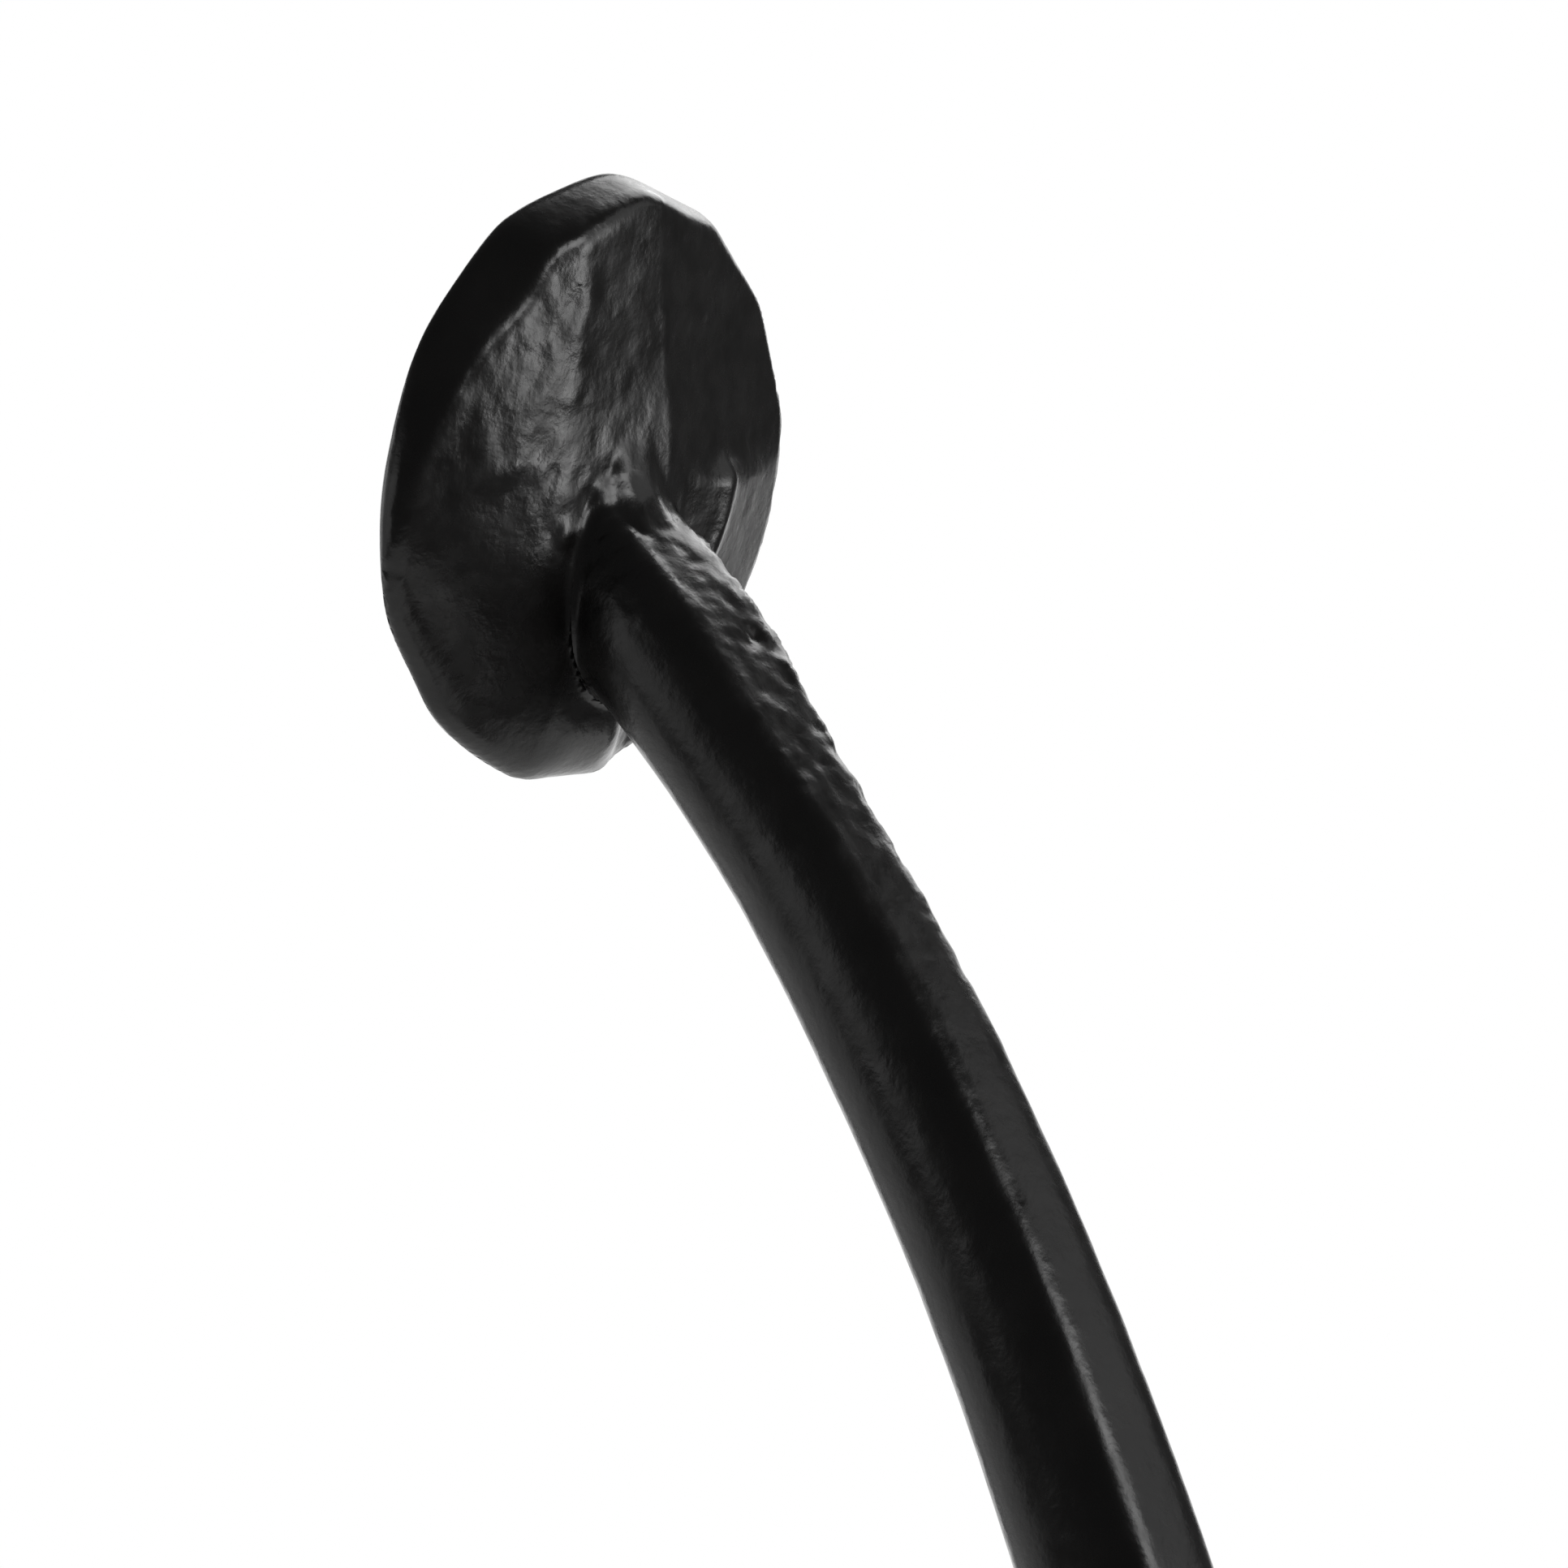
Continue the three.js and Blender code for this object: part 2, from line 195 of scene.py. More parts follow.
def dent(points, centre, radius, depth):
    """How far a small round pit takes the surface in (or out, if depth is negative)."""
    distance = np.linalg.norm(points - np.array(centre), axis=1) / radius
    return -depth * np.exp(-2.5 * distance**2)


def path_point(t):
    """The point t (0 to 1) of the way along the arm's middle line."""
    t = np.asarray(t)[:, None]
    a, b, c, d = ARM_PATH
    return (1 - t)**3 * a + 3 * t * (1 - t)**2 * b + 3 * t * t * (1 - t) * c + t**3 * d


def path_slope(t):
    """Which way, and how fast, the middle line runs there."""
    t = np.asarray(t)[:, None]
    a, b, c, d = ARM_PATH
    return 3 * (1 - t)**2 * (b - a) + 6 * t * (1 - t) * (c - b) + 3 * t * t * (d - c)


PATH_T = np.linspace(0, 1, 121)
PATH_POINTS = path_point(PATH_T)
BATCH = 20000


def arm_coordinates(points):
    """Where each point is along the arm (0 to 1) and how far it stands on its room side."""
    flat = points[:, 1:]
    nearest = np.zeros(len(flat), int)
    for start in range(0, len(flat), BATCH):
        part = flat[start:start + BATCH]
        gap = ((part[:, None, :] - PATH_POINTS[None]) ** 2).sum(2)
        nearest[start:start + BATCH] = gap.argmin(1)
    t = PATH_T[nearest]
    for _ in range(2):
        slope = path_slope(t)
        step = ((flat - path_point(t)) * slope).sum(1) / (slope * slope).sum(1)
        t = np.clip(t + step, 0.0, 1.0)
    slope = path_slope(t)
    slope = slope / np.linalg.norm(slope, axis=1)[:, None]
    away = flat - path_point(t)
    roomward = away[:, 0] * -slope[:, 1] + away[:, 1] * slope[:, 0]
    return t, roomward


def arm_field(points):
    """An oval bar, cut flat on its window side, that widens at the hub and again at the disc."""
    t, roomward = arm_coordinates(points)
    neck = NECK_FLARE * ramp(t, 0.80, 1.04) / 2
    roomward = roomward + neck
    depth = mix(ARM_DEPTH[0], ARM_DEPTH[1], t)
    spread = HUB_SPREAD * (1 - ramp(t, 0.0, 0.3)) + NECK_SPREAD * ramp(t, 0.78, 0.98)
    width = depth * ARM_WIDTH_RATIO * (1 + spread)
    flat = depth * (mix(ARM_FLAT[0], ARM_FLAT[1], t) - NECK_FLAT_LOSS * ramp(t, 0.75, 0.95)) + neck
    depth = (depth + neck) * np.where(roomward < 0, WINDOW_DEPTH_RATIO, 1.0)
    x = points[:, 0]
    inner = np.sqrt((x / width)**2 + (roomward / depth)**2) + 1e-9
    outer = np.sqrt((x / width**2)**2 + (roomward / depth**2)**2) + 1e-9
    oval = inner * (inner - 1) / outer
    worn_right = mix(WORN_RIGHT[0], WORN_RIGHT[1], ramp(t, 0.40, 0.75))
    worn_left = mix(WORN_LEFT[0], WORN_LEFT[1], ramp(t, 0.62, 0.82))
    return smooth_max(oval, -roomward - flat, np.where(x < 0, worn_right, worn_left)), roomward


def disc_coordinates(points):
    """Across (x), up the disc, out of its back, and the distance from its middle."""
    away = points - DISC_CENTRE
    across = away[:, 0]
    up = away @ DISC_UP
    out = away @ DISC_BACK
    return across, up, out, np.hypot(across, up)


# The ridge down the disc's back: its left edge, its right edge at the top and low down, and its lean
RIDGE_LEFT = 3.7
RIDGE_RIGHT = (-1.4, -2.3)
RIDGE_LEAN = 0.06
# The slope to the ridge's left, how its fall grows outwards, and how it grows below and above
LEFT_SLOPE = 0.06
LEFT_ROLL = 0.013
LEFT_TWIST = (0.0045, 0.0015)
TWIST_MIDDLE = 3.0
# The slope to the ridge's right
RIGHT_SLOPE = 0.215
# The panel at the lower right, and the raised seam where its bevel starts
PANEL_DROP = 0.3
PANEL_FALL = 0.05
BEVEL_START = 6.8
BEVEL_SLOPE = 0.36
SEAM_HEIGHT = 0.07
SEAM_WIDTH = 0.3
LOW_ROLL = 0.12
CROWN_AT_EDGE = 0.3
FRONT_EDGE_ROUND = 1.3
# How round the back's edge is: everywhere, more low down but not on the panel, and more at the top
BACK_EDGE_ROUND = 0.22
LOW_EDGE_ROUND = 1.5
PANEL_EDGE_SHARE = 0.2
TOP_EDGE_ROUND = 0.25
# How the rim draws in towards the back
RIM_SLOPE = 0.60
RIM_START_EASE = 0.8
RIM_TOP_LOSS = 0.35
RIM_UPPER_LEFT_GAIN = 0.45
RIM_BULGE = 0.094
# The outline against its nominal radius: all round, to the left, upwards, and in width over height
OUTLINE_TRIM = (0.36, -0.05, -0.12, -0.10)
# Flats and swells on the outline: the angle each faces, and its distance from the middle or its height
RIM_FLATS = (
    (76, 12.12), (47, 12.08), (110, 11.92), (135, 11.85),
    (158, 12.1), (14, 12.15), (-62, 12.2), (-90, 12.2),
)
FLAT_EDGE_ROUND = 0.3
LEAST_FACING = 0.3
RIM_SWELLS = ((-34, 0.32), (-122, 0.35))
SWELL_NARROWNESS = 10


def disc_outline(angle):
    """The front edge's radius: nearly round, with the odd flat left by dressing it by hand."""
    spare, left, up, wide = OUTLINE_TRIM
    radius = DISC_RADIUS + spare + left * np.cos(angle) + up * np.sin(angle) + wide * np.cos(2 * angle)
    for degrees, distance in RIM_FLATS:
        facing = np.maximum(np.cos(angle - math.radians(degrees)), LEAST_FACING)
        radius = smooth_min(radius, distance / facing, FLAT_EDGE_ROUND)
    for degrees, height in RIM_SWELLS:
        facing = np.cos(angle - math.radians(degrees))
        radius = radius + height * np.exp(SWELL_NARROWNESS * (facing - 1))
    return radius


def rim_slope(angle):
    """How fast the rim draws in towards the back: little at the top, most at the upper left."""
    turn = np.degrees(angle)
    top = ramp(turn, 50.0, 80.0) * ramp(-turn, -120.0, -95.0)
    upper_left = ramp(turn, 5.0, 30.0) * ramp(-turn, -60.0, -48.0)
    return RIM_SLOPE * (1 - RIM_TOP_LOSS * top + RIM_UPPER_LEFT_GAIN * upper_left)


def disc_rim(across, up, out, radius):
    """The rim, which draws in towards the back: late and fast at the lower left, where it bulges."""
    angle = np.arctan2(up, across)
    height = np.maximum(out, 0.0)
    straight = rim_slope(angle) * height**2 / (height + RIM_START_EASE)
    bulge = ramp(across, 2.0, 6.0) * ramp(-up, -6.0, 0.0)
    taper = mix(straight, RIM_BULGE * height**3, bulge)
    return (radius + taper - disc_outline(angle)) / math.hypot(1, RIM_SLOPE)


def disc_field(points):
    """A penny: crowned front, tapered rim, and a back with a flat ridge between two slopes.

    Below its middle the back loses the right-hand slope and rolls over to the rim instead.
    """
    across, up, out, radius = disc_coordinates(points)
    low = ramp(-up, 1.5, 8.0)
    crown = CROWN_AT_EDGE + (DISC_CROWN - CROWN_AT_EDGE) * (1 - (radius / DISC_RADIUS)**2)
    front = -out - crown
    left = np.maximum(across - RIDGE_LEFT, 0.0)
    ridge_right = mix(RIDGE_RIGHT[0], RIDGE_RIGHT[1], ramp(-up, -10.7, -1.0))
    right = np.maximum(ridge_right - across, 0.0)
    lower_right = ramp(-up, -1.2, 0.6) * ramp(-across, 0.0, 3.0)
    below = np.maximum(TWIST_MIDDLE - up, 0.0)
    above = np.maximum(up - TWIST_MIDDLE, 0.0)
    twist = LEFT_TWIST[0] * below**2 / (1 + below / 5) + LEFT_TWIST[1] * above**2
    lean = RIDGE_LEAN * np.clip(RIDGE_LEFT - across, 0.0, 5.0) * ramp(up, 1.0, 5.0)
    right_drop = RIGHT_SLOPE * right
    bevel = np.maximum(radius - BEVEL_START, 0.0)
    seam = SEAM_HEIGHT * np.exp(-((radius - BEVEL_START) / SEAM_WIDTH)**2)
    fall = PANEL_FALL * np.maximum(-up, 0.0)
    panel = np.minimum(right_drop, PANEL_DROP) + fall + BEVEL_SLOPE * bevel - seam
    left_drop = (LEFT_SLOPE + LEFT_ROLL * left + twist) * left
    roll = LOW_ROLL * bevel * low * (1 - lower_right)
    back = out - (DISC_THICKNESS - lean - left_drop - mix(right_drop, panel, lower_right) - roll)
    low_round = LOW_EDGE_ROUND * low * mix(1.0, PANEL_EDGE_SHARE, lower_right)
    edge = BACK_EDGE_ROUND + low_round + TOP_EDGE_ROUND * ramp(up, 6.5, 9.5)
    rim = disc_rim(across, up, out, radius)
    return smooth_max(smooth_max(rim, front, FRONT_EDGE_ROUND), back, edge)


HUB_CROWN = 0.25
HUB_FRONT_SET_BACK = 0.1
HUB_FRONT_ROUND = 2.2
HUB_BACK_ROUND = 0.6


def hub_field(points):
    """A thick round boss with a crowned front."""
    radius = np.hypot(points[:, 0], points[:, 2])
    middle = (HUB_BACK + HUB_FRONT) / 2
    half = (HUB_BACK - HUB_FRONT) / 2
    wall = radius - HUB_RADIUS
    crown = HUB_CROWN * (1 - (radius / HUB_RADIUS)**2)
    front = (middle - points[:, 1]) - half + HUB_FRONT_SET_BACK - crown
    back = (points[:, 1] - middle) - half
    return smooth_max(smooth_max(wall, front, HUB_FRONT_ROUND), back, HUB_BACK_ROUND)


SPUR_LENGTH = HANDLE_HIGH[0]
SPUR_HALF_WIDTH = (5.0, 3.5)
SPUR_NECK_BACK = -9.4
SPUR_FACE = -7.5
SPUR_TIP_BACK = -10.4
SPUR_FRONT = (-15.6, -14.0)
# Where along the spur the nose swells out, and where its tip tapers off again
SPUR_NOSE = (12.3, 14.5)
SPUR_LEAD_IN = (19.0, 27.0)
SPUR_FRONT_ROUND = 1.6
SPUR_BACK_ROUND = 0.8


def spur_field(points):
    """A tongue that necks in behind and then swells to a nose with a lead-in at its tip."""
    x, y, z = points.T
    along = np.clip(x / SPUR_LENGTH, 0.0, 1.0)
    half_width = mix(SPUR_HALF_WIDTH[0], SPUR_HALF_WIDTH[1], along)
    tip_centre = SPUR_LENGTH - SPUR_HALF_WIDTH[1]
    tip = np.hypot(x - tip_centre, z) - SPUR_HALF_WIDTH[1]
    outline = np.maximum(np.where(x > tip_centre, tip, np.abs(z) - half_width), -x)
    nose = mix(SPUR_NECK_BACK, SPUR_FACE, ramp(x, *SPUR_NOSE))
    back = y - mix(nose, SPUR_TIP_BACK, ramp(x, *SPUR_LEAD_IN))
    front = mix(SPUR_FRONT[0], SPUR_FRONT[1], ramp(x, 9.0, SPUR_LENGTH)) - y
    return smooth_max(smooth_max(outline, front, SPUR_FRONT_ROUND), back, SPUR_BACK_ROUND)


ARM_ENDS_IN_DISC = 1.0
ARM_STARTS_ABOVE_PIVOT = 3.0
SPUR_FILLET = 2.5
ARM_FILLET = 3.0
# Where arm meets disc: round the arm, and in the crook on its window side
DISC_FILLET = (0.5, 2.6)


def handle_field(points):
    """The whole casting: hub, spur, arm and disc run into each other, and the pin hole is cut."""
    arm, roomward = arm_field(points)
    across, up, out, radius = disc_coordinates(points)
    arm = smooth_max(arm, ARM_ENDS_IN_DISC - out, EDGE_BREAK)
    arm = smooth_max(arm, ARM_STARTS_ABOVE_PIVOT - points[:, 2], 0.5)
    hub = smooth_min(hub_field(points), spur_field(points), SPUR_FILLET)
    lower = smooth_min(arm, hub, ARM_FILLET)
    behind = ramp(out, 0.0, 1.2) * ramp(-roomward, 1.0, 2.6)
    in_crook = behind * ramp(-np.abs(across), -2.2, -0.6)
    fillet = mix(DISC_FILLET[0], DISC_FILLET[1], in_crook)
    whole = smooth_min(lower, disc_field(points), fillet)
    hole = PIN_HOLE_RADIUS - np.hypot(points[:, 0], points[:, 2])
    return smooth_max(whole, hole, EDGE_BREAK)


PLATE_FRONT = -4.0
PLATE_FRONT_ROUND = 2.0
BOSS_RADIUS = 10.5
BOSS_FRONT = -7.0
BOSS_ROUND = 0.9
BOSS_FILLET = 1.6
RECESS_RADIUS = 7.5
RECESS_FLOOR = -4.2
RECESS_ROUND = 0.2
BUSH_HOLE_RADIUS = 4.3
# The groove in the boss that the stop stud runs in, round the pivot's lower side
GROOVE_RADIUS = 7.6
GROOVE_HALF_WIDTH = 1.8
GROOVE_FLOOR = -5.4
GROOVE_MIDDLE = 270.0
GROOVE_HALF_SWEEP = 55.0
SCREW_HEIGHT = 29.0
SCREW_HOLE_RADIUS = 2.25
COUNTERSINK_RADIUS = 4.42


def stud_groove(y, radius, turn):
    """The curved slot that is cut out of the boss's face."""
    past_end = np.radians(np.abs(turn - GROOVE_MIDDLE) - GROOVE_HALF_SWEEP) * radius
    groove = np.maximum(np.abs(radius - GROOVE_RADIUS) - GROOVE_HALF_WIDTH, past_end)
    return smooth_max(groove, y - GROOVE_FLOOR, EDGE_BREAK)


def plate_field(points):
    """The backplate: a round-ended plate with soft front edges, a boss, a recess and its holes."""
    x, y, z = points.T
    half_width = PLATE_HIGH[0]
    straight = PLATE_HIGH[2] - half_width
    outline = np.hypot(x, np.maximum(np.abs(z) - straight, 0.0)) - half_width
    radius = np.hypot(x, z)
    plate = smooth_max(outline, PLATE_FRONT - y, PLATE_FRONT_ROUND)
    boss = smooth_max(radius - BOSS_RADIUS, BOSS_FRONT - y, BOSS_ROUND)
    body = smooth_min(plate, boss, BOSS_FILLET)
    body = smooth_max(body, y, EDGE_BREAK)
    recess = smooth_max(radius - RECESS_RADIUS, RECESS_FLOOR - y, RECESS_ROUND)
    body = smooth_max(body, -recess, EDGE_BREAK)
    body = smooth_max(body, BUSH_HOLE_RADIUS - radius, EDGE_BREAK)
    turn = np.degrees(np.arctan2(z, x)) % 360
    body = smooth_max(body, -stud_groove(y, radius, turn), EDGE_BREAK)
    for centre in (SCREW_HEIGHT, -SCREW_HEIGHT):
        hole = np.hypot(x, z - centre)
        cone = COUNTERSINK_RADIUS - np.clip(y - PLATE_FRONT, 0.0, -PLATE_FRONT)
        countersink = (hole - cone) / math.sqrt(2)
        body = smooth_max(body, -np.minimum(countersink, hole - SCREW_HOLE_RADIUS), EDGE_BREAK)
    return body


# ---------------------------------------------------------------------------------------------
# Cast skins
# ---------------------------------------------------------------------------------------------


def gradient(field, points, step=0.02):
    """The field's slope by the four corners of a tetrahedron."""
    total = 0.0
    for corner in ((1, -1, -1), (-1, -1, 1), (-1, 1, -1), (1, 1, 1)):
        corner = np.array(corner, float)
        total = total + corner * field(points + corner * step)[:, None]
    return total / (4 * step)


def even_skin(node, voxel):
    """The node's solid as one even skin of small faces, in millimetres."""
    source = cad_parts[node]
    mesh = source.data.copy()
    mesh.materials.clear()
    mesh.transform(Matrix.Scale(1 / MM, 4))
    work = bpy.data.objects.new(node + "_work", mesh)
    bpy.context.scene.collection.objects.link(work)
    remesh = work.modifiers.new("remesh", "REMESH")
    remesh.mode = "VOXEL"
    remesh.voxel_size = voxel
    evaluated = work.evaluated_get(bpy.context.evaluated_depsgraph_get())
    skin = bpy.data.meshes.new_from_object(evaluated)
    bpy.data.objects.remove(work)
    return skin


LEAST_SLOPE = 0.3
LONGEST_STEP = 0.4


def pull_onto(field, points, rounds=7):
    """The points, walked along the field's slope until they lie where it is nought."""
    for _ in range(rounds):
        slope = gradient(field, points)
        length = np.linalg.norm(slope, axis=1)
        step = field(points) / np.maximum(length, LEAST_SLOPE)
        step = np.clip(step, -LONGEST_STEP, LONGEST_STEP)
        points = points - slope / np.maximum(length, 1e-6)[:, None] * step[:, None]
    return points


def cast_skin(name, node, voxel, field, relief):
    """A new mesh object: the node's even skin on its field, with the casting's relief added."""
    skin = even_skin(node, voxel)
    points = np.zeros(len(skin.vertices) * 3)
    skin.vertices.foreach_get("co", points)
    points = pull_onto(field, points.reshape(-1, 3))
    slope = gradient(field, points)
    normal = slope / np.maximum(np.linalg.norm(slope, axis=1), 1e-6)[:, None]
    points = points + normal * relief(points)[:, None]
    skin.vertices.foreach_set("co", (points * MM).ravel())
    skin.polygons.foreach_set("use_smooth", np.ones(len(skin.polygons), bool))
    skin.update()
    piece = bpy.data.objects.new(name, skin)
    bpy.context.scene.collection.objects.link(piece)
    return piece


# Layers of roughness on the castings: feature size, shift of the noise and height
WAVES = ((7.0, 0.0, 0.05), (2.6, 3.1, 0.022))
GRAIN = ((0.9, 5.3, 0.006),)
PEBBLES = ((0.9, 5.3, 0.026), (0.5, 8.2, 0.018))
ROOT_LUMPS = ((0.75, 9.4, 0.15),)
NECK_GRAIN = ((0.75, 9.4, 0.03), (0.5, 4.4, 0.045))
FLASH = ((0.9, 2.2, 0.16), (0.5, 4.4, 0.06))
PLATE_WAVES = ((5.0, 2.0, 0.05), (2.0, 4.0, 0.02))
HEAD_HAMMERING = ((2.2, 1.7, 0.07), (0.9, 6.1, 0.025))
RIPPLE_SIZE = 0.85
RIPPLE_STRETCH = 1.9
RIPPLE_HEIGHT = 0.028


def layered(points, layers):
    """The sum of several layers of noise."""
    return sum(height * noise(points, size, shift) for size, shift, height in layers)


def ripples(across, up):
    """Short hammer ripples that run down to the left across the disc's back."""
    place = np.stack([(across - up) / RIPPLE_STRETCH, across + up, 0 * up], axis=1)
    return RIPPLE_HEIGHT * noise(place, RIPPLE_SIZE, 11.3)


# Pits in the casting, and pimples where the depth is negative: centre, radius and depth
CASTING_PITS = (
    ((2.4, -46.0, 69.4), 0.45, 0.22),
    ((4.1, -45.3, 74.6), 0.35, 0.12),
    ((-1.0, -38.6, 71.9), 0.55, 0.25),
    ((-0.4, -36.9, 70.6), 0.45, -0.10),
    ((0.6, -40.6, 73.7), 0.50, 0.12),
    ((-0.9, -41.5, 74.3), 0.40, 0.14),
    ((2.5, -26.9, 53.1), 0.45, -0.10),
    ((1.9, -23.4, 48.9), 0.35, -0.10),
)


def handle_relief(points):
    """Roughness of the casting: slow waves all over, pebbles and ripples where it was left raw."""
    across, up, out, radius = disc_coordinates(points)
    t, roomward = arm_coordinates(points)
    on_disc = ramp(out, -2.2, -1.4) * ramp(-out, -4.2, -3.2) * ramp(-radius, -13.0, -12.0)
    on_back = on_disc * ramp(out, 0.9, 1.6) * ramp(-radius, -11.6, -10.4)
    raw_back = on_back * ramp(up, -4.5, 1.0)
    left_back = raw_back * ramp(across, 2.5, 4.0) * ramp(-up, -9.5, -6.0)
    root = np.hypot(across - 2.2, up + 1.6)
    raw_root = on_disc * ramp(out, 1.5, 2.5) * ramp(-root, -3.2, -1.2)
    on_flat = ramp(-roomward, 1.6, 2.4) * (1 - on_disc)
    raw_flat = ramp(t, 0.3, 0.8) * on_flat
    neck = ramp(t, 0.62, 0.9) * on_flat
    flash = neck * ramp(-points[:, 0], 1.0, 2.0)
    calm = 1 - 0.7 * on_back * ramp(-up, 0.0, 4.0)
    relief = calm * layered(points, WAVES) + layered(points, GRAIN)
    relief = relief + (0.9 * raw_back + 0.4 * raw_flat) * layered(points, PEBBLES)
    relief = relief + left_back * ripples(across, up) + raw_root * layered(points, ROOT_LUMPS)
    relief = relief + neck * layered(points, NECK_GRAIN) + flash * layered(points, FLASH)
    for centre, size, depth in CASTING_PITS:
        relief = relief + dent(points, centre, size, depth)
    return relief


def plate_relief(points):
    """Slow waves on the plate's front, fading out before its flat back."""
    return layered(points, PLATE_WAVES) * ramp(-points[:, 1], 0.5, 1.5)


HANDLE_VOXEL = 0.24
PLATE_VOXEL = 0.35

handle = cast_skin("handle_casting", "handle", HANDLE_VOXEL, handle_field, handle_relief)
backplate = cast_skin("backplate_casting", "backplate", PLATE_VOXEL, plate_field, plate_relief)

# ---------------------------------------------------------------------------------------------
# Turned pieces: profiles are (radius, y) corners, spun round the Y axis
# ---------------------------------------------------------------------------------------------


def eased(corners, ease, ring=False):
    """The profile with each corner rounded over, and a support point either side of the round."""
    corners = [np.array(corner, float) for corner in corners]
    count = len(corners)
    points = []
    for index, corner in enumerate(corners):
        if not ring and index in (0, count - 1):
            points.append(corner)
            continue
        before = corners[index - 1] - corner
        after = corners[(index + 1) % count] - corner
        reach = min(ease, 0.4 * np.linalg.norm(before), 0.4 * np.linalg.norm(after))
        start = corner + before / np.linalg.norm(before) * reach
        end = corner + after / np.linalg.norm(after) * reach
        points.append(corner + (start - corner) * 1.2)
        for part in (0.0, 0.25, 0.5, 0.75, 1.0):
            points.append((1 - part)**2 * start + 2 * part * (1 - part) * corner + part**2 * end)
        points.append(corner + (end - corner) * 1.2)
    return points


def spun(name, profile, ring=False, segments=96, shape=None, centre=(0.0, 0.0)):
    """A mesh object spun from a profile; shape may move its points by angle, radius and y."""
    profile = np.array(profile, float)
    angle = np.linspace(0, 2 * math.pi, segments, endpoint=False)[None, :]
    radius = profile[:, :1] + 0 * angle
    y = profile[:, 1:] + 0 * angle
    angle = angle + 0 * radius
    if shape:
        radius, y = shape(angle, radius, y)
    points = np.stack([centre[0] + radius * np.cos(angle), y, centre[1] + radius * np.sin(angle)], axis=2)
    rows = len(profile)
    faces = []
    for row in range(rows if ring else rows - 1):
        start = row * segments
        following = (row + 1) % rows * segments
        for column in range(segments):
            across = (column + 1) % segments
            faces.append((start + column, start + across, following + across, following + column))
    mesh = bpy.data.meshes.new(name)
    mesh.from_pydata((points.reshape(-1, 3) * MM).tolist(), [], faces)
    work = bmesh.new()
    work.from_mesh(mesh)
    bmesh.ops.remove_doubles(work, verts=work.verts, dist=1e-7)
    bmesh.ops.recalc_face_normals(work, faces=work.faces)
    work.to_mesh(mesh)
    work.free()
    mesh.polygons.foreach_set("use_smooth", np.ones(len(mesh.polygons), bool))
    piece = bpy.data.objects.new(name, mesh)
    bpy.context.scene.collection.objects.link(piece)
    return piece


def washer(name, inner, outer, low, high, ease, shape=None):
    """A flat ring from inner to outer radius and from low to high along Y."""
    corners = [(inner, low), (outer, low), (outer, high), (inner, high)]
    return spun(name, eased(corners, ease, ring=True), ring=True, shape=shape)


FLANK_SHARE = 0.7


def thread(angle, y, pitch, crest_width):
    """1 on the crest of a thread and 0 on its root, with straight flanks between."""
    phase = (y / pitch - angle / (2 * math.pi)) % 1.0
    return np.clip((crest_width - np.abs(phase - 0.5)) / (crest_width * FLANK_SHARE), 0.0, 1.0)


def steps(start, end, spacing):
    """Evenly spaced places from start to end, no more than spacing apart."""
    return np.linspace(start, end, max(2, math.ceil(abs(end - start) / spacing) + 1))


THREAD_STEP = 0.07
PIN_HIGH = node_box("pivot_pin")[1]
PIN_HEAD = PIN_HIGH[0]
PIN_HEAD_RIM = 0.4
PIN_HEAD_DOME = 2.2
PIN_SEAT = HUB_FRONT - 0.3
PIN_SHANK = 3.0
PIN_SHOULDER = -4.2
PIN_TAIL = 2.5
PIN_PITCH = 0.8
PIN_THREAD_DEPTH = 0.3


def pin_shape(angle, radius, y):
    """A lightly hammered head, and a machine thread on the tail."""
    on_head = ramp(-y, -PIN_SEAT, PIN_HEAD_RIM - PIN_SEAT)
    place = np.stack([radius * np.cos(angle), y, radius * np.sin(angle)], axis=2).reshape(-1, 3)
    hammer = layered(place, HEAD_HAMMERING).reshape(radius.shape)
    on_tail = ramp(y, PIN_SHOULDER + 0.5, PIN_SHOULDER + 0.9) * (radius > 0.1)
    cut = PIN_THREAD_DEPTH * (1 - thread(angle, y, PIN_PITCH, 0.45)) * on_tail
    return radius * (1 + 0.1 * hammer * on_head) - cut, y + hammer * on_head


def make_pin():
    """A domed head, a plain shank that narrows at a shoulder, and a threaded tail."""
    dome = []
    for turn in steps(0, math.pi / 2, 0.06):
        top = PIN_SEAT - PIN_HEAD_RIM - PIN_HEAD_DOME * math.cos(turn)
        dome.append((PIN_HEAD * math.sin(turn), top))
    seat = [(PIN_HEAD, PIN_SEAT - 0.15), (PIN_HEAD - 0.15, PIN_SEAT), (PIN_SHANK + 0.2, PIN_SEAT)]
    shank = [
        (PIN_SHANK, PIN_SEAT + 0.2),
        (PIN_SHANK, PIN_SHOULDER - 0.2),
        (PIN_SHANK - 0.2, PIN_SHOULDER),
    ]
    tail = [(PIN_TAIL, y) for y in steps(PIN_SHOULDER, PIN_HIGH[1] - 0.3, THREAD_STEP)]
    end = [(PIN_TAIL - 0.35, PIN_HIGH[1]), (1.0, PIN_HIGH[1]), (0.0, PIN_HIGH[1])]
    return spun("pivot_pin_turned", dome + seat + shank + tail + end, segments=128, shape=pin_shape)


NUT_LOW, NUT_HIGH = node_box("retaining_nut")
NUT_FLAT = NUT_HIGH[0]
NUT_CORNER = NUT_FLAT * 1.14
NUT_CHAMFER_START = NUT_FLAT * 0.97
NUT_CHAMFER = math.radians(30)
NUT_HOLE = 2.8


